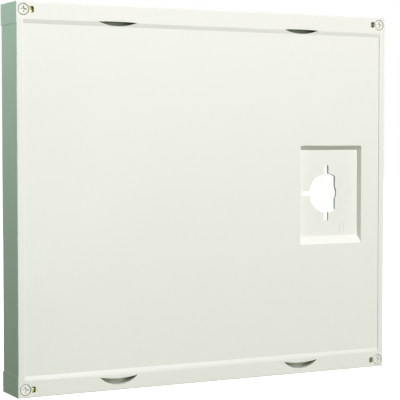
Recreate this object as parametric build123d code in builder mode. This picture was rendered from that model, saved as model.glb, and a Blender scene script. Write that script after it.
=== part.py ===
"""Front cover of a distribution board: a shallow moulded tray, open at the back.

+X is to the right and +Z up as seen from the front, and the front faces -Y. The origin is the centre
of the four lock feet, on the plane of the rear rim. Depths are measured backwards from the front face.
"""

from build123d import *
import os

# ---- driving dimensions, mm ----
WIDTH = 500.0  # two 250 mm fields of the board's frame
HEIGHT = 450.0  # three 150 mm rows of the board's frame
DEPTH = 52.0  # front face to rear rim, at the end strips
WALL = 2.5  # moulded wall
EDGE_R = 1.0  # rounding of the outer front edges

STRIP_H = 24.5  # end strip, from the outer edge to its joint with the panel
LEDGE_H = 20.0  # flat part of the strip's front
CAP_PROUD = 0.4  # the strip's corner caps stand out of the side walls
BORDER_W = 8.0  # raised border at each side of the field
BORDER_EDGE_R = 0.5
FIELD_DEPTH = 1.2  # recess of the large flat field
PANEL_DEPTH = 50.0  # the side walls stop short of the rear rim

LOCK_INSET_X = 8.5  # lock axis from the side wall's face
LOCK_INSET_Z = 9.0  # lock axis from the outer edge
HEAD_R = 5.9
HEAD_T = 4.0
HEAD_DEPTH = 0.3
SEAT_R = 6.6
WASHER_R = 5.7
WASHER_BORE_R = 3.62
WASHER_T = 1.2
SHANK_R = 3.5
SHANK_BORE_R = 3.57
HEAD_EDGE_R = 0.5
CROSS_L = 7.4  # cross recess of the head
CROSS_W = 1.5
CROSS_DEPTH = 2.2
BOSS_R = 8.0
BOSS_END = 47.0
NECK_R = 2.6
NECK_L = 3.0
WING_L = 12.0
WING_W = 5.2
WING_T = 3.0
WING_CHAMFER = 0.9
CLIP_R = 6.0
CLIP_T = 0.8
CLIP_GAP = 0.15  # between the boss and the clip
CLIP_BORE_R = 2.95
CLIP_MOUTH = 5.1  # width of the clip's open side
GROOVE_R = 2.9
GROOVE_PLAY = 0.05  # on each face of the clip

SEAL_HOLE_W = 5.0
SEAL_HOLE_H = 6.8
SEAL_HOLE_R = 0.9
SEAL_HOLE_INSET = 18.4
SEAL_STEEL_T = 1.2
SEAL_STEEL_W = 6.0
SEAL_STEEL_INSET = 20.0
SEAL_TAB_DEPTH = 4.5
SEAL_TAB_H = 13.5
SEAL_LEG_END = 18.0
SEAL_EYE_R = 0.8
SEAL_EYE_X = 0.6  # wire hole from the tab's centre line, outwards
SEAL_EYE_Z = 0.4  # wire hole from the lock axis, towards the panel
SEAL_PEG_R = 1.5
SEAL_PEG_PLAY = 0.08
SEAL_PEG_DEPTH = 13.0
SEAL_PEG_L = 3.4

GRIP_X = WIDTH / 4  # one grip at the middle of each 250 mm field
GRIP_DEPTH = 10.5
GRIP_WALL = 2.0
GRIP_BLOCK_HALF = 27.0  # block that holds a grip's pocket
GRIP_BLOCK_R = 3.0
GRIP_GAP_HALF = 30.0  # gap in the panel's end rib and flange round the block
# pocket of a grip: half length, then distances from the strip's outer edge of the tips, of the wall at
# the bar and of the rim away from it, first at the front and then at the floor
TOP_POCKET = ((24.0, 19.4, 18.8, 24.0), (23.0, 19.6, 19.1, 23.3))
BOTTOM_POCKET = ((24.0, 16.0, 13.6, 6.2), (23.0, 15.6, 13.2, 6.9))

SCREW_R = 1.25
PILOT_R = 1.3
SCREW_CLEAR_R = 1.7
SCREW_HEAD_R = 3.0
SCREW_HEAD_T = 2.0
SCREW_HEAD_EDGE_R = 0.8
RECESS_L = 3.2
RECESS_W = 0.8
RECESS_DEPTH = 1.0
STRIP_SCREW_L = 10.0  # under the head
PLATE_SCREW_L = 7.4
SCREW_BOSS_R = 3.5
PILOT_SKIN = 1.2  # left in front of the handle plate's pilot holes
JOINT_XS = (-205.0, -40.0, 40.0, 205.0)
JOINT_INSET_Z = 14.0  # strip screws, from the outer edge
JOINT_DEPTH = 12.0  # where the panel's flanges lie against the strip's bosses
FLANGE_HALF_W = 222.0
FLANGE_T = 2.0
FLANGE_RIM = 6.0  # flange outside the screws' centres
UNDER_GAP = 0.3  # between the panel's skin and what reaches under it
END_RIB_T = 2.0

RIB_T = 1.6
RIB_DEPTH = 15.0
RIB_XS = (-150.0, -50.0, 50.0)
RIB_ZS = (-110.0, 110.0)

WINDOW_X = 170.2  # centre of the window's floor
WINDOW_Z = 1.6
WINDOW_W = 86.4
WINDOW_H = 108.8
WINDOW_FLOOR = 8.0  # depth of the window's floor
WINDOW_R = 1.5
RUN_SIDE = 2.2  # how far each wall of the window leans out
RUN_TOP = 5.5
RUN_BOTTOM = 10.0

PLATE_T = 3.5
PLATE_W = 107.0
PLATE_H = 117.0
PLATE_R = 3.0
PLATE_SCREW_X = 48.5  # from the window's centre
PLATE_SCREW_Z = 42.0
CUT_X = 167.0  # centre of the keyed cut-out
CUT_Z = 1.4
CUT_R = 24.7
CUT_FLAT = 13.0
CUT_KEY_R = 15.0
CUT_SLOT_W = 6.2
CUT_SLOT_R = 35.0
MARK_T = 0.35
MARK_LINE = 0.9
# position marks: centre from the cut-out's centre, then the ring's half axes and the bar's sides
RING_MARK = (34.2, 1.1, 3.8, 6.3)
BAR_MARK = (23.9, -44.0, 7.6, 12.4)

HALF_W = WIDTH / 2
HALF_H = HEIGHT / 2
FIELD_BACK = FIELD_DEPTH + WALL
JOINT_Z = HALF_H - STRIP_H
JOINT_GAP = 0.05
PANEL_HALF_H = JOINT_Z - JOINT_GAP
INNER_W = HALF_W - WALL

CORNERS = {
    "top_left": (-1, 1),
    "top_right": (1, 1),
    "bottom_left": (-1, -1),
    "bottom_right": (1, -1),
}

os.makedirs("parts", exist_ok=True)


def face_at(depth):
    """The plane parallel to the front, this far behind it, seen from the front."""
    return Plane.XZ.offset(DEPTH - depth)


def lock_place(corner):
    """Place of a corner's lock axis on the front."""
    side, end = CORNERS[corner]
    return (side * (HALF_W - LOCK_INSET_X), end * (HALF_H - LOCK_INSET_Z))


def finish(name, piece):
    """Label a finished piece and write it."""
    piece.label = name
    export_step(piece, f"parts/{name}.step")


# ---- finger grips of an end strip ----
# Each grip is a pocket below a bar: beside the field in the top strip, beside the lower edge in the bottom
# one. Both are drawn for a strip at the top, and the bottom strip is turned over afterwards.


def pocket_outline(x, depth, sizes):
    """Outline of a pocket on the plane at this depth, between the arc at the bar and the rim's arc."""
    half, tip, wall, rim = sizes
    with BuildSketch(face_at(depth)) as outline:
        with BuildLine():
            bar = ThreePointArc((x - half, HALF_H - tip), (x, HALF_H - wall), (x + half, HALF_H - tip))
            ThreePointArc(bar @ 1, (x, HALF_H - rim), bar @ 0)
        make_face()
    return outline.sketch


def block_outline(x, depth, near, far):
    """Rounded outline of the block round a pocket, between distances from the strip's outer edge."""
    with BuildSketch(face_at(depth)) as outline:
        with Locations((x, HALF_H - (near + far) / 2)):
            RectangleRounded(2 * GRIP_BLOCK_HALF, far - near, GRIP_BLOCK_R)
    return outline.sketch


def strip_with_grips(blank, pocket):
    """The strip's blank with a block and a pocket for each of its two grips."""
    at_front, at_floor = pocket
    near = min(at_front[1:]) - GRIP_WALL
    far = max(at_front[1:]) + GRIP_WALL
    block_back = GRIP_DEPTH + GRIP_WALL
    skin_middle = WALL / 2
    under_panel = FIELD_BACK + UNDER_GAP
    with BuildPart() as strip:
        add(blank)
        for x in (-GRIP_X, GRIP_X):
            outline = block_outline(x, skin_middle, near, min(far, STRIP_H))
            extrude(outline, amount=-(block_back - skin_middle))
            # a block that reaches under the panel's edge starts behind the panel's skin
            if far > STRIP_H:
                extrude(block_outline(x, under_panel, near, far), amount=-(block_back - under_panel))
        for x in (-GRIP_X, GRIP_X):
            front_outline = pocket_outline(x, 0, at_front)
            loft([front_outline, pocket_outline(x, GRIP_DEPTH, at_floor)], mode=Mode.SUBTRACT)
    return strip.part


# ---- end strips ----
def strip_profile():
    """Outline of the strip's wall across its length, as (y, z) points."""
    front, back = -DEPTH, 0.0
    return [
        (front, HALF_H),
        (front, HALF_H - LEDGE_H),
        (front + FIELD_DEPTH, JOINT_Z),
        (front + FIELD_BACK, JOINT_Z),
        (front + WALL, HALF_H - LEDGE_H),
        (front + WALL, HALF_H - WALL),
        (back, HALF_H - WALL),
        (back, HALF_H),
    ]


with BuildPart() as strip_blank:
    with BuildSketch(Plane.YZ):
        with BuildLine():
            Polyline(*strip_profile(), close=True)
        make_face()
    extrude(amount=HALF_W - BORDER_W, both=True)
    # corner caps: a full-height front plate and a side wall at each end
    for side in (-1, 1):
        cap_out = side * (HALF_W + CAP_PROUD)
        with BuildSketch(face_at(0)):
            with Locations(((cap_out + side * (HALF_W - BORDER_W)) / 2, HALF_H - STRIP_H / 2)):
                Rectangle(BORDER_W + CAP_PROUD, STRIP_H)
        extrude(amount=-WALL)
        with BuildSketch(face_at(0)):
            with Locations(((cap_out + side * INNER_W) / 2, HALF_H - STRIP_H / 2)):
                Rectangle(WALL + CAP_PROUD, STRIP_H)
        extrude(amount=-DEPTH)
        with BuildSketch(face_at(0)):
            with Locations((side * (HALF_W - BORDER_W / 2), HALF_H - WALL / 2)):
                Rectangle(BORDER_W, WALL)
        extrude(amount=-DEPTH)
    front_edges = edges().filter_by(lambda e: abs(e.center().Y + DEPTH) < 0.01)
    outer = front_edges.filter_by(
        lambda e: abs(e.center().Z - HALF_H) < 0.01 or abs(abs(e.center().X) - HALF_W - CAP_PROUD) < 0.01
    )
    fillet(outer, radius=EDGE_R)
    # lock bosses
    lock_places = [lock_place("top_left"), lock_place("top_right")]
    with BuildSketch(face_at(WALL)):
        with Locations(*lock_places):
            Circle(BOSS_R)
    extrude(amount=-(BOSS_END - WALL))
    with BuildSketch(face_at(0)):
        with Locations(*lock_places):
            Circle(SEAT_R)
    extrude(amount=-(HEAD_DEPTH + HEAD_T + WASHER_T), mode=Mode.SUBTRACT)
    with BuildSketch(face_at(0)):
        with Locations(*lock_places):
            Circle(SHANK_BORE_R)
    extrude(amount=-DEPTH, mode=Mode.SUBTRACT)
    # seal holes beside the locks
    with BuildSketch(face_at(0)):
        with Locations(*[(s * (HALF_W - SEAL_HOLE_INSET), HALF_H - LOCK_INSET_Z) for s in (-1, 1)]):
            RectangleRounded(SEAL_HOLE_W, SEAL_HOLE_H, SEAL_HOLE_R)
    extrude(amount=-WALL, mode=Mode.SUBTRACT)
    # pegs that hold the seal eyes
    with BuildSketch(Plane.XY.offset(HALF_H - WALL)):
        with Locations(*[(s * (HALF_W - SEAL_STEEL_INSET), SEAL_PEG_DEPTH - DEPTH) for s in (-1, 1)]):
            Circle(SEAL_PEG_R)
    extrude(amount=-SEAL_PEG_L)
    # screw bosses
    with BuildSketch(face_at(WALL)):
        with Locations(*[(x, HALF_H - JOINT_INSET_Z) for x in JOINT_XS]):
            Circle(SCREW_BOSS_R)
    extrude(amount=-(JOINT_DEPTH - WALL))
    with BuildSketch(face_at(JOINT_DEPTH)):
        with Locations(*[(x, HALF_H - JOINT_INSET_Z) for x in JOINT_XS]):
            Circle(PILOT_R)
    extrude(amount=JOINT_DEPTH - WALL, mode=Mode.SUBTRACT)

finish("top_end_strip", strip_with_grips(strip_blank.part, TOP_POCKET))
finish("bottom_end_strip", strip_with_grips(strip_blank.part, BOTTOM_POCKET).rotate(Axis.Y, 180))


# ---- front panel ----
def window_outline(grow, spread):
    """Window outline, grown by a wall, with its walls leaning out by a share of their runs."""
    left = WINDOW_X - WINDOW_W / 2 - spread * RUN_SIDE - grow
    right = WINDOW_X + WINDOW_W / 2 + spread * RUN_SIDE + grow
    low = WINDOW_Z - WINDOW_H / 2 - spread * RUN_BOTTOM - grow
    high = WINDOW_Z + WINDOW_H / 2 + spread * RUN_TOP + grow
    return (left + right) / 2, (low + high) / 2, right - left, high - low


def window_sketch(depth, grow, spread):
    """Rounded outline of the window on the plane at this depth."""
    x, z, w, h = window_outline(grow, spread)
    with BuildSketch(face_at(depth)) as outline:
        with Locations((x, z)):
            RectangleRounded(w, h, WINDOW_R + grow)
    return outline.sketch


with BuildPart() as front_panel:
    # field, side borders and side walls
    with BuildSketch(face_at(FIELD_DEPTH)):
        Rectangle(WIDTH - 2 * WALL, 2 * PANEL_HALF_H)
    extrude(amount=-WALL)
    for side in (-1, 1):
        with BuildSketch(face_at(0)):
            with Locations((side * (HALF_W - BORDER_W / 2), 0)):
                Rectangle(BORDER_W, 2 * PANEL_HALF_H)
        extrude(amount=-WALL)
        with BuildSketch(face_at(0)):
            with Locations((side * (HALF_W - WALL / 2), 0)):
                Rectangle(WALL, 2 * PANEL_HALF_H)
        extrude(amount=-PANEL_DEPTH)
    long_edges = edges().filter_by(Axis.Z).filter_by(lambda e: abs(e.center().Y + DEPTH) < 0.01)
    fillet(long_edges.filter_by(lambda e: abs(e.center().X) > HALF_W - 0.01), radius=EDGE_R)
    inner = edges().filter_by(Axis.Z).filter_by(lambda e: abs(e.center().Y + DEPTH) < 0.01)
    fillet(inner.filter_by(lambda e: abs(abs(e.center().X) - HALF_W + BORDER_W) < 0.01), radius=BORDER_EDGE_R)
    # stiffening ribs
    for x in RIB_XS:
        with BuildSketch(face_at(FIELD_BACK)):
            with Locations((x, 0)):
                Rectangle(RIB_T, 2 * (PANEL_HALF_H - END_RIB_T))
        extrude(amount=-(RIB_DEPTH - FIELD_BACK))
    for z in RIB_ZS:
        with BuildSketch(face_at(FIELD_BACK)):
            with Locations((0, z)):
                Rectangle(2 * INNER_W, RIB_T)
        extrude(amount=-(RIB_DEPTH - FIELD_BACK))
    # end ribs and the flanges that are screwed to the end strips, with gaps round the grips
    flange_in = PANEL_HALF_H - END_RIB_T
    flange_out = HALF_H - JOINT_INSET_Z + FLANGE_RIM
    gap_h = 2 * (HALF_H - flange_in)
    for end in (-1, 1):
        grips = [(x, end * HALF_H) for x in (-GRIP_X, GRIP_X)]
        with BuildSketch(face_at(FIELD_BACK)):
            with Locations((0, end * (flange_in + END_RIB_T / 2))):
                Rectangle(2 * INNER_W, END_RIB_T)
            with Locations(*grips):
                Rectangle(2 * GRIP_GAP_HALF, gap_h, mode=Mode.SUBTRACT)
        extrude(amount=-(JOINT_DEPTH + FLANGE_T - FIELD_BACK))
        with BuildSketch(face_at(JOINT_DEPTH)):
            with Locations((0, end * (flange_in + flange_out) / 2)):
                Rectangle(2 * FLANGE_HALF_W, flange_out - flange_in)
            with Locations(*grips):
                Rectangle(2 * GRIP_GAP_HALF, gap_h, mode=Mode.SUBTRACT)
            with Locations(*[(x, end * (HALF_H - JOINT_INSET_Z)) for x in JOINT_XS]):
                Circle(SCREW_CLEAR_R, mode=Mode.SUBTRACT)
        extrude(amount=-FLANGE_T)
    # window: a leaning collar, open at the back for the handle plate
    loft([window_sketch(FIELD_DEPTH, WALL, 1.0), window_sketch(WINDOW_FLOOR, WALL, 0.0)])
    loft([window_sketch(FIELD_DEPTH, 0.0, 1.0), window_sketch(WINDOW_FLOOR, 0.0, 0.0)], mode=Mode.SUBTRACT)
    plate_places = [
        (WINDOW_X + i * PLATE_SCREW_X, WINDOW_Z + j * PLATE_SCREW_Z) for i in (-1, 1) for j in (-1, 1)
    ]
    with BuildSketch(face_at(FIELD_BACK)):
        with Locations(*plate_places):
            Circle(SCREW_BOSS_R)
    extrude(amount=-(WINDOW_FLOOR - FIELD_BACK))
    with BuildSketch(face_at(WINDOW_FLOOR)):
        with Locations(*plate_places):
            Circle(PILOT_R)
    extrude(amount=WINDOW_FLOOR - FIELD_DEPTH - PILOT_SKIN, mode=Mode.SUBTRACT)
finish("front_panel", front_panel.part)


# ---- handle plate with the keyed cut-out ----
with BuildPart() as handle_plate:
    with BuildSketch(face_at(WINDOW_FLOOR)):
        with Locations((WINDOW_X, WINDOW_Z)):
            RectangleRounded(PLATE_W, PLATE_H, PLATE_R)
        with Locations(*plate_places):
            Circle(SCREW_CLEAR_R, mode=Mode.SUBTRACT)
    extrude(amount=-PLATE_T)
    with BuildSketch(face_at(WINDOW_FLOOR)):
        with Locations((CUT_X, CUT_Z)):
            Circle(CUT_R)
            with Locations((CUT_FLAT + CUT_R, 0)):
                Rectangle(2 * CUT_R, 3 * CUT_R, mode=Mode.SUBTRACT)
            Circle(CUT_KEY_R)
            Rectangle(CUT_SLOT_W, 2 * CUT_SLOT_R)
            with Locations((-CUT_SLOT_R / 2, 0)):
                Rectangle(CUT_SLOT_R, CUT_SLOT_W)
    extrude(amount=-PLATE_T, mode=Mode.SUBTRACT)
    # raised position marks: an open ring and an upright bar outline
    ring_x, ring_z, ring_half_w, ring_half_h = RING_MARK
    bar_x, bar_z, bar_w, bar_h = BAR_MARK
    with BuildSketch(face_at(WINDOW_FLOOR)):
        with Locations((CUT_X + ring_x, CUT_Z + ring_z)):
            Ellipse(ring_half_w, ring_half_h)
            Ellipse(ring_half_w - MARK_LINE, ring_half_h - MARK_LINE, mode=Mode.SUBTRACT)
        with Locations((CUT_X + bar_x, CUT_Z + bar_z)):
            Rectangle(bar_w, bar_h)
            Rectangle(bar_w - 2 * MARK_LINE, bar_h - 2 * MARK_LINE, mode=Mode.SUBTRACT)
    extrude(amount=MARK_T)
finish("handle_plate", handle_plate.part)


# ---- screws ----
def screws(name, places, seat_depth, length):
    """A group of pan-head screws driven from behind, with their heads on the plane at seat_depth."""
    with BuildPart() as group:
        with BuildSketch(face_at(seat_depth)):
            with Locations(*places):
                Circle(SCREW_HEAD_R)
        extrude(amount=-SCREW_HEAD_T)
        rims = edges().filter_by(GeomType.CIRCLE).filter_by(
            lambda e: abs(e.center().Y - (seat_depth + SCREW_HEAD_T - DEPTH)) < 0.01
        )
        fillet(rims, radius=SCREW_HEAD_EDGE_R)
        with BuildSketch(face_at(seat_depth)):
            with Locations(*places):
                Circle(SCREW_R)
        extrude(amount=length)
        with BuildSketch(face_at(seat_depth + SCREW_HEAD_T)):
            with Locations(*places):
                Rectangle(RECESS_L, RECESS_W)
                Rectangle(RECESS_W, RECESS_L)
        extrude(amount=RECESS_DEPTH, mode=Mode.SUBTRACT)
    finish(name, group.part)


screws("handle_plate_screws", plate_places, WINDOW_FLOOR + PLATE_T, PLATE_SCREW_L)
for strip_name, end in (("top_strip_screws", 1), ("bottom_strip_screws", -1)):
    strip_places = [(x, end * (HALF_H - JOINT_INSET_Z)) for x in JOINT_XS]
    screws(strip_name, strip_places, JOINT_DEPTH + FLANGE_T, STRIP_SCREW_L)


# ---- corner locks ----
HEAD_BACK = HEAD_DEPTH + HEAD_T


def lock_bolt(corner):
    """Quarter-turn bolt: cross-slot head, long shank with a clip groove, neck and wing foot."""
    place = lock_place(corner)
    groove_front = BOSS_END + CLIP_GAP - GROOVE_PLAY
    with BuildPart() as bolt:
        with BuildSketch(face_at(HEAD_DEPTH)):
            with Locations(place):
                Circle(HEAD_R)
        extrude(amount=-HEAD_T)
        fillet(edges().filter_by(lambda e: abs(e.center().Y + DEPTH - HEAD_DEPTH) < 0.01), radius=HEAD_EDGE_R)
        with BuildSketch(face_at(HEAD_BACK)):
            with Locations(place):
                Circle(SHANK_R)
        extrude(amount=-(DEPTH - HEAD_BACK))
        with BuildSketch(face_at(groove_front)):
            with Locations(place):
                Circle(CLIP_R)
                Circle(GROOVE_R, mode=Mode.SUBTRACT)
        extrude(amount=-(CLIP_T + 2 * GROOVE_PLAY), mode=Mode.SUBTRACT)
        with BuildSketch(face_at(DEPTH)):
            with Locations(place):
                Circle(NECK_R)
        extrude(amount=-NECK_L)
        with BuildSketch(face_at(DEPTH + NECK_L)):
            with Locations(place):
                SlotOverall(WING_L, WING_W, rotation=90)
        extrude(amount=-WING_T)
        foot = edges().filter_by(lambda e: abs(e.center().Y - NECK_L - WING_T) < 0.01)
        chamfer(foot, length=WING_CHAMFER)
        with BuildSketch(face_at(HEAD_DEPTH)):
            with Locations(place):
                Rectangle(CROSS_L, CROSS_W)
                Rectangle(CROSS_W, CROSS_L)
        extrude(amount=-CROSS_DEPTH, mode=Mode.SUBTRACT)
    return bolt.part


def lock_washer(corner):
    """Friction washer under the head."""
    with BuildPart() as washer:
        with BuildSketch(face_at(HEAD_BACK)):
            with Locations(lock_place(corner)):
                Circle(WASHER_R)
                Circle(WASHER_BORE_R, mode=Mode.SUBTRACT)
        extrude(amount=-WASHER_T)
    return washer.part


def lock_clip(corner):
    """Open steel clip in the shank's groove, behind the boss."""
    place = lock_place(corner)
    with BuildPart() as clip:
        with BuildSketch(face_at(BOSS_END + CLIP_GAP)):
            with Locations(place):
                Circle(CLIP_R)
                Circle(CLIP_BORE_R, mode=Mode.SUBTRACT)
                with Locations((0, -CLIP_R)):
                    Rectangle(CLIP_MOUTH, 2 * CLIP_R, mode=Mode.SUBTRACT)
        extrude(amount=-CLIP_T)
    return clip.part


def seal_eye(corner):
    """Bent steel eye: a tab behind the seal hole and a leg along the end wall."""
    side, end = CORNERS[corner]
    x = side * (HALF_W - SEAL_STEEL_INSET)
    outer_z = HALF_H - WALL
    tab_back = SEAL_TAB_DEPTH + SEAL_STEEL_T
    with BuildPart() as eye:
        with BuildSketch(face_at(SEAL_TAB_DEPTH)):
            with Locations((x, end * (outer_z + HALF_H - SEAL_TAB_H) / 2)):
                Rectangle(SEAL_STEEL_W, outer_z - HALF_H + SEAL_TAB_H)
            with Locations((x + side * SEAL_EYE_X, end * (HALF_H - LOCK_INSET_Z - SEAL_EYE_Z))):
                Circle(SEAL_EYE_R, mode=Mode.SUBTRACT)
        extrude(amount=-SEAL_STEEL_T)
        with BuildSketch(face_at(tab_back)):
            with Locations((x, end * (outer_z - SEAL_STEEL_T / 2))):
                Rectangle(SEAL_STEEL_W, SEAL_STEEL_T)
        extrude(amount=-(SEAL_LEG_END - tab_back))
        with BuildSketch(Plane.XY.offset(end * outer_z)):
            with Locations((x, SEAL_PEG_DEPTH - DEPTH)):
                Circle(SEAL_PEG_R + SEAL_PEG_PLAY)
        extrude(amount=-end * SEAL_STEEL_T, mode=Mode.SUBTRACT)
    return eye.part


for corner_name in CORNERS:
    finish(f"lock_bolt_{corner_name}", lock_bolt(corner_name))
    finish(f"lock_washer_{corner_name}", lock_washer(corner_name))
    finish(f"lock_clip_{corner_name}", lock_clip(corner_name))
    finish(f"seal_eye_{corner_name}", seal_eye(corner_name))
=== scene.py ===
"""Looks of the front cover of a distribution board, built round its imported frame.

+X is to the right and +Z up as seen from the front, which faces -Y. Blender's lengths are metres, and a
field whose name ends in _mm holds millimetres.
"""

from __future__ import annotations

import logging
import math
from dataclasses import dataclass, field
from enum import Enum

import bmesh
import bpy
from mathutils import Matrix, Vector


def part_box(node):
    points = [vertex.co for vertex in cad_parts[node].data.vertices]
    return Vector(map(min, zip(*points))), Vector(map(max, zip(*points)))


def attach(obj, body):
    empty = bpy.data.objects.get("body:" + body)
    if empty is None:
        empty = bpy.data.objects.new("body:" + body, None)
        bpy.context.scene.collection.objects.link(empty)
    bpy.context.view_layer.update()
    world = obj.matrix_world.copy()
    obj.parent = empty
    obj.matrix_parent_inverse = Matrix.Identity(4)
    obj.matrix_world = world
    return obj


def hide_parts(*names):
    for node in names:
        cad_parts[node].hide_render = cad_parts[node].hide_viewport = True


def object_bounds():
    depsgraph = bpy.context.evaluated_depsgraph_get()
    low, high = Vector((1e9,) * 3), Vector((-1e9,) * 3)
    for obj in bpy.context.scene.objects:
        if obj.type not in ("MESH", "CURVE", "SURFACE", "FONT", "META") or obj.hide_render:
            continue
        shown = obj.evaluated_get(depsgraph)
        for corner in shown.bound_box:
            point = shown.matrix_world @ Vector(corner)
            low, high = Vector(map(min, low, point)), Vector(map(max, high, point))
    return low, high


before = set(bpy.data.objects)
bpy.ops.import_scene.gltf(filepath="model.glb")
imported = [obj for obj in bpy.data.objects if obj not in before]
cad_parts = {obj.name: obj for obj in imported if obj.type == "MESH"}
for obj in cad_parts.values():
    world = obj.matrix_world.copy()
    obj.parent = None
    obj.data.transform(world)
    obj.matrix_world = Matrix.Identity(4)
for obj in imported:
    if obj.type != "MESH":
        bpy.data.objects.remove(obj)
CAD_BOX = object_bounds()
MM = 0.001
WELD = 0.001 * MM  # points nearer than this are one
LOG = logging.getLogger("board_cover")


class Slot(Enum):
    """Material slots of the record."""

    COVER = "cover_plastic"
    LOCK = "lock_plastic"
    WASHER = "washer_rubber"
    CLIP = "clip_steel"
    SCREW = "zinc_screw"
    SEAL = "seal_steel"


class Corner(Enum):
    """Corners of the cover, as their nodes and bodies are named."""

    TOP_LEFT = "top_left"
    TOP_RIGHT = "top_right"
    BOTTOM_LEFT = "bottom_left"
    BOTTOM_RIGHT = "bottom_right"


# ---- colour and nodes ----


def linear(colour: str) -> tuple[float, float, float, float]:
    """Turns an sRGB hex colour to linear light.

    Args:
        colour: Six hex digits after a #.

    Returns:
        Linear red, green, blue and an alpha of 1.
    """
    channels = [int(colour[i : i + 2], 16) / 255 for i in (1, 3, 5)]
    return (*[c / 12.92 if c <= 0.04045 else ((c + 0.055) / 1.055) ** 2.4 for c in channels], 1.0)


def add_node(tree: bpy.types.NodeTree, kind: str, settings: dict | None = None, links: dict | None = None):
    """Adds one node with its settings and links.

    Args:
        tree: Node tree that gets the node.
        kind: Blender's type name of the node.
        settings: Values by the name of a property, or by the name or number of an input.
        links: Output sockets by the name or number of the input that they feed.

    Returns:
        The new node.
    """
    node = tree.nodes.new(kind)
    for key, value in (settings or {}).items():
        if isinstance(key, str) and hasattr(node, key):
            setattr(node, key, value)
        else:
            node.inputs[key].default_value = value
    for key, source in (links or {}).items():
        tree.links.new(source, node.inputs[key])
    return node


def empty_material(name: str) -> tuple[bpy.types.Material, bpy.types.NodeTree]:
    """Makes a material with no nodes in it.

    Args:
        name: Name of the finish.

    Returns:
        The material and its node tree.
    """
    material = bpy.data.materials.new(name)
    material.use_nodes = True
    material.node_tree.nodes.clear()
    return material, material.node_tree


# ---- finishes ----

# Most of a noise texture's values lie between these.
NOISE_LOW = 0.3
NOISE_HIGH = 0.7


@dataclass(frozen=True)
class MouldedPolymer:
    """Polymer moulded against a spark-eroded or polished tool.

    The skin copies the tool: an even satin grain that breaks highlights up but leaves the colour calm.
    Pigment swirls a little where the melt flowed, and the gloss drifts with it. A painted shade darkens
    narrow pockets. It isn't dirt or another material: it is shade painted into the colour, which stands in
    for a depth that the photo doesn't give, so that the pockets come out nearly as dark as they look there.
    """

    name: str
    colour: str
    flow_colour: str
    roughness: float
    grain_mm: float
    grain_depth_mm: float
    ior: float
    flow_mm: float = 120.0
    roughness_swing: float = 0.05
    specular: float = 0.5
    # Painted shade: a darker colour laid into narrow pockets, where shade falls.
    painted_recess_shade: str = ""
    painted_shade_reach_mm: float = 9.0
    painted_shade_full: float = 0.2  # openness at which the painted shade is full
    painted_shade_none: float = 0.6  # openness from which none of the painted shade shows

    def build(self) -> bpy.types.Material:
        """Builds the material.

        Returns:
            The finished material.
        """
        material, tree = empty_material(self.name)
        place = add_node(tree, "ShaderNodeTexCoord").outputs["Object"]
        flow = add_node(
            tree,
            "ShaderNodeTexNoise",
            {"Scale": 1 / (self.flow_mm * MM), "Detail": 3.0, "Roughness": 0.45, "Distortion": 0.8},
            {"Vector": place},
        )
        tint = add_node(
            tree,
            "ShaderNodeMix",
            {"data_type": "RGBA", 6: linear(self.colour), 7: linear(self.flow_colour)},
            {0: flow.outputs[0]},
        )
        gloss = add_node(
            tree,
            "ShaderNodeMapRange",
            {
                "From Min": NOISE_LOW,
                "From Max": NOISE_HIGH,
                "To Min": self.roughness - self.roughness_swing,
                "To Max": self.roughness + self.roughness_swing,
            },
            {"Value": flow.outputs[0]},
        )
        grain = add_node(
            tree,
            "ShaderNodeTexNoise",
            {"Scale": 1 / (self.grain_mm * MM), "Detail": 2.0, "Roughness": 0.6},
            {"Vector": place},
        )
        bump = add_node(
            tree,
            "ShaderNodeBump",
            {"Strength": 1.0, "Distance": self.grain_depth_mm * MM},
            {"Height": grain.outputs[0]},
        )
        # Shade is painted into the base colour in narrow pockets when a colour for that is given.
        colour = self.paint_recess_shade(tree, tint.outputs[2]) if self.painted_recess_shade else tint.outputs[2]
        shader = add_node(
            tree,
            "ShaderNodeBsdfPrincipled",
            {"IOR": self.ior, "Specular IOR Level": self.specular},
            {"Base Color": colour, "Roughness": gloss.outputs[0], "Normal": bump.outputs[0]},
        )
        add_node(tree, "ShaderNodeOutputMaterial", links={"Surface": shader.outputs[0]})
        return material

    def paint_recess_shade(self, tree: bpy.types.NodeTree, plain: bpy.types.NodeSocket) -> bpy.types.NodeSocket:
        """Paints shade into the colour of narrow pockets.

        Args:
            tree: Node tree of the material.
            plain: Colour of the open surface.

        Returns:
            The colour, with shade painted into its recesses.
        """
        # Ambient occlusion picks out the pockets that get the painted shade.
        openness = add_node(
            tree,
            "ShaderNodeAmbientOcclusion",
            {"samples": 12, "only_local": True, "Distance": self.painted_shade_reach_mm * MM},
        )
        bare = add_node(
            tree,
            "ShaderNodeMapRange",
            {"From Min": self.painted_shade_full, "From Max": self.painted_shade_none},
            {"Value": openness.outputs["AO"]},
        )
        mixed = add_node(
            tree,
            "ShaderNodeMix",
            {"data_type": "RGBA", 6: linear(self.painted_recess_shade)},
            {0: bare.outputs[0], 7: plain},
        )
        return mixed.outputs[2]


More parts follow.
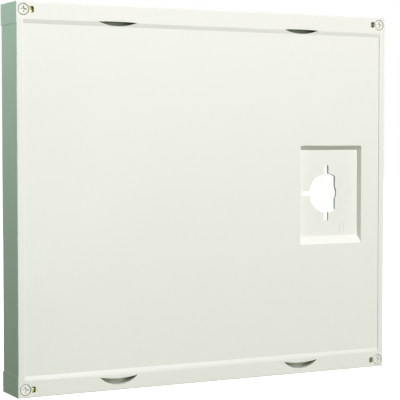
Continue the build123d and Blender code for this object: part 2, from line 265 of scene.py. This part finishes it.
@dataclass(frozen=True)
class PlatedSteel:
    """Steel with a thin finish of its own, bright zinc, yellow passivate or a blued spring temper.

    The metal mirrors softly. The film over it shifts the colour in soft clouds, and rolling or tumbling
    leaves fine lines that are drawn wide enough to read from a metre away.
    """

    name: str
    colour: str
    film_colour: str
    roughness: float
    cloud_mm: float
    line_mm: float
    line_depth_mm: float = 0.01
    line_strength: float = 0.6
    line_stretch: float = 0.08  # scale along Z, which draws the noise out into lines
    gloss_drop: float = 0.07
    gloss_rise: float = 0.1

    def build(self) -> bpy.types.Material:
        """Builds the material.

        Returns:
            The finished material.
        """
        material, tree = empty_material(self.name)
        place = add_node(tree, "ShaderNodeTexCoord").outputs["Object"]
        cloud = add_node(
            tree,
            "ShaderNodeTexNoise",
            {"Scale": 1 / (self.cloud_mm * MM), "Detail": 4.0, "Roughness": 0.55, "Distortion": 1.2},
            {"Vector": place},
        )
        film = add_node(
            tree,
            "ShaderNodeMix",
            {"data_type": "RGBA", 6: linear(self.colour), 7: linear(self.film_colour)},
            {0: cloud.outputs[0]},
        )
        gloss = add_node(
            tree,
            "ShaderNodeMapRange",
            {
                "From Min": NOISE_LOW,
                "From Max": NOISE_HIGH,
                "To Min": self.roughness - self.gloss_drop,
                "To Max": self.roughness + self.gloss_rise,
            },
            {"Value": cloud.outputs[0]},
        )
        stretched = add_node(
            tree, "ShaderNodeMapping", {"Scale": (1.0, 1.0, self.line_stretch)}, {"Vector": place}
        )
        lines = add_node(
            tree,
            "ShaderNodeTexNoise",
            {"Scale": 1 / (self.line_mm * MM), "Detail": 2.0},
            {"Vector": stretched.outputs[0]},
        )
        bump = add_node(
            tree,
            "ShaderNodeBump",
            {"Strength": self.line_strength, "Distance": self.line_depth_mm * MM},
            {"Height": lines.outputs[0]},
        )
        shader = add_node(
            tree,
            "ShaderNodeBsdfPrincipled",
            {"Metallic": 1.0},
            {"Base Color": film.outputs[2], "Roughness": gloss.outputs[0], "Normal": bump.outputs[0]},
        )
        add_node(tree, "ShaderNodeOutputMaterial", links={"Surface": shader.outputs[0]})
        return material


# PC/ABS housing, spark-eroded tool. The real grain is about 0.1 mm, drawn at 0.8 mm so that it shows.
# The darker pocket colour below is painted shade, not a colour of the plastic.
WHITE_HOUSING = MouldedPolymer(
    "pc_abs_spark_eroded", "#EFF0E8", "#EBEDE2", 0.42, 0.8, 0.006, 1.58, painted_recess_shade="#8F957E"
)
# Polyamide from a polished tool: a shade whiter and glossier than the cover.
WHITE_POLYAMIDE = MouldedPolymer("polyamide_polished_tool", "#F1F1E8", "#EDEEE2", 0.3, 0.5, 0.003, 1.53, 12.0)
# Nitrile sheet: matt and nearly black, with the cloth-like bloom of cut rubber.
NITRILE = MouldedPolymer("nitrile_cut_sheet", "#232422", "#2E2F2B", 0.72, 0.35, 0.02, 1.5, 5.0, 0.08, 0.4)
# Bright zinc plate on a cold-headed screw.
BRIGHT_ZINC = PlatedSteel("zinc_plate_bright", "#C9CDD0", "#B4BABF", 0.3, 3.0, 0.25)
# Yellow passivate over zinc on a punched strip: brass to olive in soft clouds.
YELLOW_ZINC = PlatedSteel("zinc_yellow_passivate", "#C9BE72", "#9DA468", 0.36, 4.0, 0.4)
# Spring strip, tempered and oiled.
SPRING_STEEL = PlatedSteel("spring_steel_tempered", "#8E9092", "#6F747A", 0.34, 3.5, 0.3)

FINISHES = {
    Slot.COVER: WHITE_HOUSING,
    Slot.LOCK: WHITE_POLYAMIDE,
    Slot.WASHER: NITRILE,
    Slot.CLIP: SPRING_STEEL,
    Slot.SCREW: BRIGHT_ZINC,
    Slot.SEAL: YELLOW_ZINC,
}


# ---- mesh tools ----


def new_piece(name: str, mesh: bpy.types.Mesh) -> bpy.types.Object:
    """Puts a mesh in the scene.

    Args:
        name: Name of the piece.
        mesh: Its mesh, in the row frame.

    Returns:
        The new object, at the origin.
    """
    piece = bpy.data.objects.new(name, mesh)
    bpy.context.scene.collection.objects.link(piece)
    return piece


def settle(piece: bpy.types.Object) -> bpy.types.Object:
    """Turns a piece's modifiers into plain mesh.

    Args:
        piece: Piece whose modifiers are done.

    Returns:
        The same piece, with no modifiers.
    """
    graph = bpy.context.evaluated_depsgraph_get()
    mesh = bpy.data.meshes.new_from_object(
        piece.evaluated_get(graph), preserve_all_data_layers=True, depsgraph=graph
    )
    piece.modifiers.clear()
    piece.data = mesh
    mesh.name = piece.name
    return piece


def merged(node: str) -> bmesh.types.BMesh:
    """Joins the loose triangles of a CAD node's mesh into flat faces, on a copy.

    Args:
        node: Name of the CAD node.

    Returns:
        The joined copy.
    """
    flat_within = math.radians(0.4)
    shape = bmesh.new()
    shape.from_mesh(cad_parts[node].data)
    bmesh.ops.remove_doubles(shape, verts=shape.verts, dist=WELD)
    bmesh.ops.dissolve_limit(shape, angle_limit=flat_within, verts=shape.verts, edges=shape.edges)
    bmesh.ops.recalc_face_normals(shape, faces=shape.faces)
    return shape


def softened(node: str, name: str, radius_mm: float, seam_mm: float | None = None) -> bpy.types.Object:
    """Copies a CAD node and rounds its outer edges, as a tool's radii or a deburred punch leave them.

    An edge beside a narrow face gets a smaller radius, to keep roundings apart. Edges along a seam between
    two mouldings stay sharp, so that the joint stays closed.

    Known fault: on the ends of the lock bolts' feet the chamfer's short, shallow edges are rounded too.
    Their roundings cross, which tears the skin and takes it up to 0.42 mm past the CAD's box.

    Args:
        node: CAD node to copy.
        name: Name of the new piece.
        radius_mm: Largest radius of the rounding.
        seam_mm: Height of the seams above and below the centre, if the node has any.

    Returns:
        The new piece, shaded by its flat faces.
    """
    room_share = 0.35
    faces_across = 2
    seam_reach = 0.1 * MM
    sharp_from = math.radians(32)
    radius = radius_mm * MM
    shape = merged(node)
    weight = shape.edges.layers.float.new("bevel_weight_edge")
    for edge in shape.edges:
        if len(edge.link_faces) != 2 or edge.calc_face_angle(0.0) < sharp_from:
            continue
        if seam_mm and all(abs(abs(end.co.z) - seam_mm * MM) < seam_reach for end in edge.verts):
            continue
        if edge.is_convex:
            room = min(face.calc_area() / edge.calc_length() for face in edge.link_faces)
            edge[weight] = min(1.0, room_share * room / radius)
    bmesh.ops.triangulate(shape, faces=[face for face in shape.faces if len(face.verts) > 4])
    mesh = bpy.data.meshes.new(name)
    shape.to_mesh(mesh)
    shape.free()
    piece = new_piece(name, mesh)
    bevel = piece.modifiers.new("outer_edges", "BEVEL")
    bevel.width = radius
    bevel.segments = faces_across
    bevel.limit_method = "WEIGHT"
    bevel.use_clamp_overlap = False
    bevel.loop_slide = False
    piece.modifiers.new("flat_faces", "TRIANGULATE").min_vertices = 5
    settle(piece)
    shade_by_faces(piece)
    return piece


def shade_by_faces(piece: bpy.types.Object, sharp_deg: float = 50.0) -> None:
    """Shades a piece smooth, with its largest faces kept flat and its inner corners sharp.

    Args:
        piece: Piece to shade.
        sharp_deg: Angle from which an edge stays sharp.
    """
    shape = bmesh.new()
    shape.from_mesh(piece.data)
    for face in shape.faces:
        face.smooth = True
    for edge in shape.edges:
        edge.smooth = edge.calc_face_angle(0.0) < math.radians(sharp_deg)
    shape.to_mesh(piece.data)
    shape.free()
    weighted = piece.modifiers.new("face_weighted", "WEIGHTED_NORMAL")
    weighted.mode = "FACE_AREA"
    weighted.weight = 100
    weighted.keep_sharp = True
    settle(piece)


def dress(piece: bpy.types.Object, slot: Slot, body: str, *nodes: str) -> bpy.types.Object:
    """Gives a piece its finish, its body and the CAD nodes that it stands for.

    Args:
        piece: Finished piece.
        slot: Material slot of the record.
        body: CAD body that the piece rides on.
        *nodes: CAD nodes that the piece stands for.

    Returns:
        The same piece.
    """
    piece.data.materials.clear()
    piece.data.materials.append(bpy.data.materials[FINISHES[slot].name])
    for polygon in piece.data.polygons:
        polygon.material_index = 0
    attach(piece, body)
    if nodes:
        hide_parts(*nodes)
    return piece


def solids_of(node: str) -> list[tuple[Vector, Vector]]:
    """Finds the box of each separate solid in a CAD node.

    Args:
        node: Name of the CAD node.

    Returns:
        Lowest and highest corner of each solid.
    """
    shape = merged(node)
    left = set(shape.verts)
    boxes = []
    while left:
        group = {left.pop()}
        edge_of_group = list(group)
        while edge_of_group:
            vertex = edge_of_group.pop()
            fresh = {edge.other_vert(vertex) for edge in vertex.link_edges} - group
            group |= fresh
            edge_of_group.extend(fresh)
        left -= group
        low = Vector([min(vertex.co[axis] for vertex in group) for axis in range(3)])
        high = Vector([max(vertex.co[axis] for vertex in group) for axis in range(3)])
        boxes.append((low, high))
    shape.free()
    return sorted(boxes, key=lambda pair: (round(pair[0].z, 4), pair[0].x))


# ---- Geometry Nodes ----


class Tree:
    """A Geometry Nodes tree with named sizes, put on one piece and turned into its mesh."""

    def __init__(self, name: str, sizes: dict[str, float], slot: Slot) -> None:
        """Makes the tree's interface.

        Args:
            name: Name of the tree.
            sizes: Value in metres, or count, of each named input. A whole number makes a count.
            slot: Material slot of the result.
        """
        self.tree = bpy.data.node_groups.new(name, "GeometryNodeTree")
        self.slot = slot
        interface = self.tree.interface
        interface.new_socket("Geometry", in_out="INPUT", socket_type="NodeSocketGeometry")
        interface.new_socket("Geometry", in_out="OUTPUT", socket_type="NodeSocketGeometry")
        self.values = {}
        for label, value in sizes.items():
            kind = "NodeSocketInt" if isinstance(value, int) else "NodeSocketFloat"
            socket = interface.new_socket(label, in_out="INPUT", socket_type=kind)
            self.values[socket.identifier] = value
        self.inputs = add_node(self.tree, "NodeGroupInput").outputs

    def add(self, kind: str, settings: dict | None = None, links: dict | None = None):
        """Adds a node to this tree; see add_node."""
        return add_node(self.tree, kind, settings, links)

    def maths(self, operation: str, first, second) -> bpy.types.NodeSocket:
        """Adds a sum, difference or other piece of arithmetic.

        Args:
            operation: Blender's name of the operation.
            first: Socket or number.
            second: Socket or number.

        Returns:
            The result's socket.
        """
        pair = {0: first, 1: second}
        numbers = {key: value for key, value in pair.items() if isinstance(value, (int, float))}
        sockets = {key: value for key, value in pair.items() if key not in numbers}
        return self.add("ShaderNodeMath", {"operation": operation, **numbers}, sockets).outputs[0]

    def close(self, geometry: bpy.types.NodeSocket) -> None:
        """Ends the tree in Realize Instances and Set Material."""
        real = self.add("GeometryNodeRealizeInstances", links={"Geometry": geometry})
        dressed = self.add(
            "GeometryNodeSetMaterial",
            {"Material": bpy.data.materials[FINISHES[self.slot].name]},
            {"Geometry": real.outputs[0]},
        )
        self.add("NodeGroupOutput", links={"Geometry": dressed.outputs[0]})

    def run(self, name: str, points: list[Vector]) -> bpy.types.Object:
        """Runs the tree on points and makes the result a plain mesh.

        Args:
            name: Name of the new piece.
            points: Points that the tree starts from.

        Returns:
            The new piece.
        """
        mesh = bpy.data.meshes.new(name)
        mesh.from_pydata([tuple(point) for point in points], [], [])
        piece = new_piece(name, mesh)
        modifier = piece.modifiers.new(name, "NODES")
        modifier.node_group = self.tree
        for identifier, value in self.values.items():
            modifier[identifier] = value
        return settle(piece)


# ---- sub-assemblies ----


@dataclass
class CoverShell:
    """The four mouldings that make the cover: panel, two end strips and handle plate."""

    radius_mm: dict[str, float] = field(
        default_factory=lambda: {
            "front_panel": 0.35,
            "top_end_strip": 0.3,
            "bottom_end_strip": 0.3,
            "handle_plate": 0.3,
        }
    )
    seam_mm: float = 200.475  # joints of the panel and the end strips

    def build(self) -> list[bpy.types.Object]:
        """Builds the mouldings.

        Returns:
            One piece for each moulding.
        """
        pieces = []
        for node, radius in self.radius_mm.items():
            piece = softened(node, f"{node}_moulding", radius, seam_mm=self.seam_mm)
            pieces.append(dress(piece, Slot.COVER, "cover", node))
        return pieces


@dataclass
class EjectorMarks:
    """Witness marks that the tool's ejector pins leave on the rear of the field, in a regular grid."""

    pin_r_mm: float = 2.5
    proud_mm: float = 0.15
    columns: int = 10
    rows: int = 6
    column_step_mm: float = 50.0
    row_step_mm: float = 55.0
    field_back_mm: float = 3.7  # rear face of the field, behind the front
    plate_gap_mm: float = 5.0  # no pins this near the handle plate

    def build(self) -> bpy.types.Object:
        """Builds the marks.

        Returns:
            All marks as one piece.
        """
        front = CAD_BOX[0].y
        plate_low, plate_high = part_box("handle_plate")
        gap = self.plate_gap_mm * MM
        sizes = {
            "Pin Radius": self.pin_r_mm * MM,
            "Proud": self.proud_mm * MM,
            "Columns": self.columns,
            "Rows": self.rows,
            "Column Step": self.column_step_mm * MM,
            "Row Step": self.row_step_mm * MM,
            "Rear Face": front + self.field_back_mm * MM,
            "Plate Left": plate_low.x - gap,
            "Plate Low": plate_low.z - gap,
            "Plate High": plate_high.z + gap,
        }
        work = Tree("ejector_pin_grid", sizes, Slot.COVER)
        inputs = work.inputs
        width = work.maths("MULTIPLY", work.maths("SUBTRACT", inputs["Columns"], 1), inputs["Column Step"])
        height = work.maths("MULTIPLY", work.maths("SUBTRACT", inputs["Rows"], 1), inputs["Row Step"])
        grid = work.add(
            "GeometryNodeMeshGrid",
            links={
                "Size X": width,
                "Size Y": height,
                "Vertices X": inputs["Columns"],
                "Vertices Y": inputs["Rows"],
            },
        )
        place = work.add("ShaderNodeCombineXYZ", links={"Y": inputs["Rear Face"]})
        upright = work.add(
            "GeometryNodeTransform",
            {"Rotation": (math.radians(90), 0.0, 0.0)},
            {"Geometry": grid.outputs[0], "Translation": place.outputs[0]},
        )
        at = work.add("ShaderNodeSeparateXYZ", links={0: work.add("GeometryNodeInputPosition").outputs[0]})
        right_of = work.maths("GREATER_THAN", at.outputs["X"], inputs["Plate Left"])
        above = work.maths("GREATER_THAN", at.outputs["Z"], inputs["Plate Low"])
        below = work.maths("LESS_THAN", at.outputs["Z"], inputs["Plate High"])
        on_plate = work.maths("MULTIPLY", work.maths("MULTIPLY", right_of, above), below)
        free = work.maths("SUBTRACT", 1.0, on_plate)
        height_of_pin = work.maths("MULTIPLY", inputs["Proud"], 2.0)
        top = work.maths("SUBTRACT", inputs["Pin Radius"], inputs["Proud"])
        pin = work.add(
            "GeometryNodeMeshCone",
            {"Vertices": 28},
            {"Radius Top": top, "Radius Bottom": inputs["Pin Radius"], "Depth": height_of_pin},
        )
        sunk = work.add("ShaderNodeCombineXYZ", links={"Z": work.maths("MULTIPLY", inputs["Proud"], -1.0)})
        seated = work.add(
            "GeometryNodeTransform", links={"Geometry": pin.outputs[0], "Translation": sunk.outputs[0]}
        )
        marks = work.add(
            "GeometryNodeInstanceOnPoints",
            {"Rotation": (math.radians(-90), 0.0, 0.0)},
            {"Points": upright.outputs[0], "Instance": seated.outputs[0], "Selection": free},
        )
        work.close(marks.outputs[0])
        piece = work.run("ejector_marks", [Vector((0, front + self.field_back_mm * MM, 0))])
        return dress(piece, Slot.COVER, "cover")


@dataclass
class ScrewSet:
    """Thread-forming screws with domed heads and cross recesses, driven from behind."""

    head_h_mm: float = 2.0
    core_r_mm: float = 0.95
    crest_r_mm: float = 1.25
    pitch_mm: float = 1.1
    point_mm: float = 1.6
    recess_w_mm: float = 0.7
    recess_l_mm: float = 3.2
    recess_d_mm: float = 1.1
    dome: float = 0.42  # how square the head's side is, from 0, a box, to 1, a ball
    tip_share: float = 0.45  # radius of the blunt point's end, as a share of the core's
    sharp_deg: float = 38.0  # edges from this angle up stay sharp, such as the thread's crest
    groups: tuple[str, ...] = ("handle_plate_screws", "top_strip_screws", "bottom_strip_screws")

    def build(self) -> list[bpy.types.Object]:
        """Builds one piece for each group of screws.

        Returns:
            The screw groups.
        """
        pieces = []
        for group in self.groups:
            solids = solids_of(group)
            low, high = solids[0]
            seat = high.y - self.head_h_mm * MM
            points = [Vector(((a.x + b.x) / 2, seat, (a.z + b.z) / 2)) for a, b in solids]
            piece = self.tree(group, (high.x - low.x) / 2, seat - low.y).run(f"{group}_threaded", points)
            shade_by_faces(piece, self.sharp_deg)
            pieces.append(dress(piece, Slot.SCREW, "cover", group))
        return pieces

    def tree(self, group: str, head_r: float, length: float) -> Tree:
        """Builds the tree of one kind of screw, standing on its head's seat with the head towards +Z.

        Args:
            group: CAD node of the screws.
            head_r: Radius of the head.
            length: Length under the head.

        Returns:
            The finished tree.
        """
        sizes = {
            "Head Radius": head_r,
            "Head Height": self.head_h_mm * MM,
            "Core Radius": self.core_r_mm * MM,
            "Crest Radius": self.crest_r_mm * MM,
            "Pitch": self.pitch_mm * MM,
            "Length": length,
            "Point": self.point_mm * MM,
            "Recess Width": self.recess_w_mm * MM,
            "Recess Length": self.recess_l_mm * MM,
            "Recess Depth": self.recess_d_mm * MM,
            "Dome": self.dome,
        }
        work = Tree(f"{group}_tree", sizes, Slot.SCREW)
        joined = work.add("GeometryNodeJoinGeometry")
        for part in (self.head(work), self.shank(work), self.thread(work)):
            work.tree.links.new(part, joined.inputs[0])
        screws = work.add(
            "GeometryNodeInstanceOnPoints",
            {"Rotation": (math.radians(-90), 0.0, 0.0)},
            {"Points": work.inputs["Geometry"], "Instance": joined.outputs[0]},
        )
        work.close(screws.outputs[0])
        return work

    def head(self, work: Tree) -> bpy.types.NodeSocket:
        """Makes a ball into a flat-bottomed pan head and cuts the cross recess."""
        inputs = work.inputs
        ball = work.add("GeometryNodeMeshUVSphere", {"Segments": 40, "Rings": 24, "Radius": 1.0})
        at = work.add("ShaderNodeSeparateXYZ", links={0: work.add("GeometryNodeInputPosition").outputs[0]})
        upper = work.maths("MAXIMUM", at.outputs["Z"], 0.0)
        squared = work.maths("POWER", upper, inputs["Dome"])
        placed = work.add(
            "ShaderNodeCombineXYZ",
            links={
                "X": work.maths("MULTIPLY", at.outputs["X"], inputs["Head Radius"]),
                "Y": work.maths("MULTIPLY", at.outputs["Y"], inputs["Head Radius"]),
                "Z": work.maths("MULTIPLY", squared, inputs["Head Height"]),
            },
        )
        pan = work.add(
            "GeometryNodeSetPosition", links={"Geometry": ball.outputs[0], "Position": placed.outputs[0]}
        )
        tidy = work.add("GeometryNodeMergeByDistance", {"Distance": WELD}, {"Geometry": pan.outputs[0]})
        cut = work.add(
            "GeometryNodeMeshBoolean", {"operation": "DIFFERENCE", "solver": "EXACT"}, {0: tidy.outputs[0]}
        )
        depth = work.maths("MULTIPLY", inputs["Recess Depth"], 2.0)
        up = work.add("ShaderNodeCombineXYZ", links={"Z": inputs["Head Height"]})
        for turn in (0.0, 90.0):
            size = work.add(
                "ShaderNodeCombineXYZ",
                links={"X": inputs["Recess Length"], "Y": inputs["Recess Width"], "Z": depth},
            )
            blade = work.add("GeometryNodeMeshCube", links={"Size": size.outputs[0]})
            turned = work.add(
                "GeometryNodeTransform",
                {"Rotation": (0.0, 0.0, math.radians(turn))},
                {"Geometry": blade.outputs[0], "Translation": up.outputs[0]},
            )
            work.tree.links.new(turned.outputs[0], cut.inputs[1])
        return cut.outputs[0]

    def shank(self, work: Tree) -> bpy.types.NodeSocket:
        """Makes the core and its blunt point."""
        inputs = work.inputs
        straight = work.maths("SUBTRACT", inputs["Length"], inputs["Point"])
        core = work.add(
            "GeometryNodeMeshCylinder", {"Vertices": 20}, {"Radius": inputs["Core Radius"], "Depth": straight}
        )
        middle = work.add("ShaderNodeCombineXYZ", links={"Z": work.maths("MULTIPLY", straight, -0.5)})
        core_placed = work.add(
            "GeometryNodeTransform", links={"Geometry": core.outputs[0], "Translation": middle.outputs[0]}
        )
        tip = work.add(
            "GeometryNodeMeshCone",
            {"Vertices": 20},
            {
                "Radius Top": inputs["Core Radius"],
                "Radius Bottom": work.maths("MULTIPLY", inputs["Core Radius"], self.tip_share),
                "Depth": inputs["Point"],
            },
        )
        end = work.add("ShaderNodeCombineXYZ", links={"Z": work.maths("MULTIPLY", inputs["Length"], -1.0)})
        tip_placed = work.add(
            "GeometryNodeTransform", links={"Geometry": tip.outputs[0], "Translation": end.outputs[0]}
        )
        both = work.add("GeometryNodeJoinGeometry")
        work.tree.links.new(core_placed.outputs[0], both.inputs[0])
        work.tree.links.new(tip_placed.outputs[0], both.inputs[0])
        return both.outputs[0]

    def thread(self, work: Tree) -> bpy.types.NodeSocket:
        """Winds a three-sided thread round the core."""
        inputs = work.inputs
        run = work.maths("SUBTRACT", inputs["Length"], inputs["Point"])
        turns = work.maths("DIVIDE", run, inputs["Pitch"])
        wire = work.maths("SUBTRACT", inputs["Crest Radius"], inputs["Core Radius"])
        middle = work.maths("SUBTRACT", inputs["Crest Radius"], wire)
        helix = work.add(
            "GeometryNodeCurveSpiral",
            {"Resolution": 18},
            {
                "Rotations": turns,
                "Start Radius": middle,
                "End Radius": middle,
                "Height": work.maths("MULTIPLY", run, -1.0),
            },
        )
        upright = work.add("GeometryNodeSetCurveNormal", {"mode": "Z_UP"}, {"Curve": helix.outputs[0]})
        section = work.add("GeometryNodeCurvePrimitiveCircle", {"Resolution": 3}, {"Radius": wire})
        wound = work.add(
            "GeometryNodeCurveToMesh",
            {"Fill Caps": True},
            {"Curve": upright.outputs[0], "Profile Curve": section.outputs[0]},
        )
        return wound.outputs[0]


@dataclass
class CornerLock:
    """Quarter-turn bolt of one corner, with its friction washer and its clip."""

    corner: Corner
    bolt_radius_mm: float = 0.3
    washer_radius_mm: float = 0.15
    clip_radius_mm: float = 0.12

    def build(self) -> list[bpy.types.Object]:
        """Builds the lock.

        Returns:
            The bolt, clip and washer.
        """
        name = self.corner.value
        body = f"lock_{name}"
        bolt = softened(f"lock_bolt_{name}", f"lock_bolt_{name}_moulding", self.bolt_radius_mm)
        clip = softened(f"lock_clip_{name}", f"lock_clip_{name}_strip", self.clip_radius_mm)
        washer = softened(f"lock_washer_{name}", f"lock_washer_{name}_ring", self.washer_radius_mm)
        return [
            dress(bolt, Slot.LOCK, body, f"lock_bolt_{name}"),
            dress(clip, Slot.CLIP, body, f"lock_clip_{name}"),
            dress(washer, Slot.WASHER, "cover", f"lock_washer_{name}"),
        ]


@dataclass
class SealEye:
    """Steel eye behind a seal hole, punched from strip and bent."""

    corner: Corner
    radius_mm: float = 0.2

    def build(self) -> bpy.types.Object:
        """Builds the eye.

        Returns:
            The eye as one piece.
        """
        node = f"seal_eye_{self.corner.value}"
        return dress(softened(node, f"{node}_strip", self.radius_mm), Slot.SEAL, "cover", node)


# ---- studio ----


@dataclass(frozen=True)
class SoftBox:
    """A square studio light that faces the cover's centre."""

    name: str
    place: tuple[float, float, float]
    side: float
    power: float
    colour: str

    def build(self) -> bpy.types.Object:
        """Builds the light.

        Returns:
            The light's object.
        """
        lamp = bpy.data.lights.new(self.name, "AREA")
        lamp.shape = "SQUARE"
        lamp.size = self.side
        lamp.energy = self.power
        lamp.color = linear(self.colour)[:3]
        light = bpy.data.objects.new(self.name, lamp)
        bpy.context.scene.collection.objects.link(light)
        centre = (CAD_BOX[0] + CAD_BOX[1]) / 2
        light.location = centre + Vector(self.place)
        light.rotation_mode = "QUATERNION"
        light.rotation_quaternion = (centre - light.location).to_track_quat("-Z", "Y")
        light.visible_camera = False
        return light


@dataclass
class Studio:
    """Lit table, white dome, soft boxes, ambient light and camera.

    The camera was fitted to the outline, locks and window in the photo. The lights' powers and tints were
    fitted to its tones.
    """

    camera_from_front: tuple[float, float, float] = (-0.7856, -1.4818, 0.0695)
    yaw_deg: float = 27.388
    pitch_deg: float = 2.506
    lens: float = 124.7
    room_radius: float = 9.0
    ambient_high: str = "#A3B59C"
    ambient_low: str = "#69755F"
    ambient_power: float = 0.47
    boxes: tuple[SoftBox, ...] = (
        SoftBox("key_box", (0.5, -2.6, 1.6), 1.4, 90.0, "#FDF4FF"),
        SoftBox("front_fill_box", (0.5, -2.6, -0.2), 1.0, 15.0, "#E8FFE0"),
        SoftBox("left_rim_box", (-0.75, 0.1, 0.6), 0.4, 2.7, "#DDFFF6"),
        SoftBox("back_box", (0.7, 2.3, 0.9), 1.2, 48.0, "#FFF8FC"),
    )

    def build(self) -> None:
        """Builds the studio round the cover."""
        self.ambient()
        for box in self.boxes:
            box.build()
        self.floor()
        self.backdrop()
        self.camera()
        bpy.context.scene.view_settings.view_transform = "Standard"

    def ambient(self) -> None:
        """Lights the room from a low to a high tone."""
        world = bpy.data.worlds.new("studio_ambient")
        world.use_nodes = True
        tree = world.node_tree
        tree.nodes.clear()
        sky = add_node(tree, "ShaderNodeTexCoord").outputs["Generated"]
        way = add_node(tree, "ShaderNodeSeparateXYZ", links={0: sky})
        height = add_node(
            tree, "ShaderNodeMapRange", {"From Min": -0.6, "From Max": 0.7}, {"Value": way.outputs["Z"]}
        )
        tone = add_node(
            tree,
            "ShaderNodeMix",
            {"data_type": "RGBA", 6: linear(self.ambient_low), 7: linear(self.ambient_high)},
            {0: height.outputs[0]},
        )
        light = add_node(
            tree, "ShaderNodeBackground", {"Strength": self.ambient_power}, {"Color": tone.outputs[2]}
        )
        add_node(tree, "ShaderNodeOutputWorld", links={"Surface": light.outputs[0]})
        bpy.context.scene.world = world

    def floor(self) -> bpy.types.Object:
        """Makes the pale floor, a lit table that stays white under the cover.

        Returns:
            The floor.
        """
        half = self.room_radius
        level = CAD_BOX[0].z
        mesh = bpy.data.meshes.new("floor")
        corners = [(-half, -half, level), (half, -half, level), (half, half, level), (-half, half, level)]
        mesh.from_pydata(corners, [], [(0, 1, 2, 3)])
        material, tree = empty_material("lit_table_acrylic")
        shader = add_node(
            tree,
            "ShaderNodeBsdfPrincipled",
            {
                "Base Color": linear("#F4F4F2"),
                "Roughness": 0.6,
                "Emission Color": linear("#FFFFFF"),
                "Emission Strength": 1.0,
            },
        )
        below = add_node(tree, "ShaderNodeNewGeometry").outputs["Backfacing"]
        clear = add_node(tree, "ShaderNodeBsdfTransparent")
        both = add_node(
            tree, "ShaderNodeMixShader", links={0: below, 1: shader.outputs[0], 2: clear.outputs[0]}
        )
        add_node(tree, "ShaderNodeOutputMaterial", links={"Surface": both.outputs[0]})
        mesh.materials.append(material)
        floor = new_piece("floor", mesh)
        floor.visible_diffuse = False
        floor.visible_glossy = False
        return floor

    def backdrop(self) -> bpy.types.Object:
        """Makes the white dome behind everything, which only the camera sees.

        Returns:
            The dome.
        """
        shape = bmesh.new()
        bmesh.ops.create_icosphere(shape, subdivisions=4, radius=self.room_radius)
        mesh = bpy.data.meshes.new("backdrop")
        shape.to_mesh(mesh)
        shape.free()
        material, tree = empty_material("white_paper")
        glow = add_node(tree, "ShaderNodeEmission", {"Color": linear("#FFFFFF"), "Strength": 1.0})
        add_node(tree, "ShaderNodeOutputMaterial", links={"Surface": glow.outputs[0]})
        mesh.materials.append(material)
        dome = new_piece("backdrop", mesh)
        dome.visible_diffuse = False
        dome.visible_glossy = False
        dome.visible_transmission = False
        dome.visible_shadow = False
        return dome

    def camera(self) -> None:
        """Sets the camera up to the left of the cover, level and turned towards it."""
        low, high = CAD_BOX
        front = Vector(((low.x + high.x) / 2, low.y, (low.z + high.z) / 2))
        lens = bpy.data.cameras.new("camera")
        lens.lens = self.lens
        camera = bpy.data.objects.new("camera", lens)
        bpy.context.scene.collection.objects.link(camera)
        camera.location = front + Vector(self.camera_from_front)
        camera.rotation_euler = (math.radians(90 - self.pitch_deg), 0.0, math.radians(-self.yaw_deg))
        bpy.context.scene.camera = camera


def main() -> None:
    """Builds every finish, sub-assembly and light, and reports each piece."""
    logging.basicConfig(level=logging.INFO, format="%(name)s: %(message)s")
    for finish in FINISHES.values():
        finish.build()
    pieces = CoverShell().build()
    pieces.append(EjectorMarks().build())
    pieces += ScrewSet().build()
    for corner in Corner:
        pieces += CornerLock(corner).build()
        pieces.append(SealEye(corner).build())
    for piece in pieces:
        finish_name = piece.data.materials[0].name
        LOG.info("%s: %d faces, finish %s", piece.name, len(piece.data.polygons), finish_name)
    Studio().build()


if __name__ == "__main__":
    main()
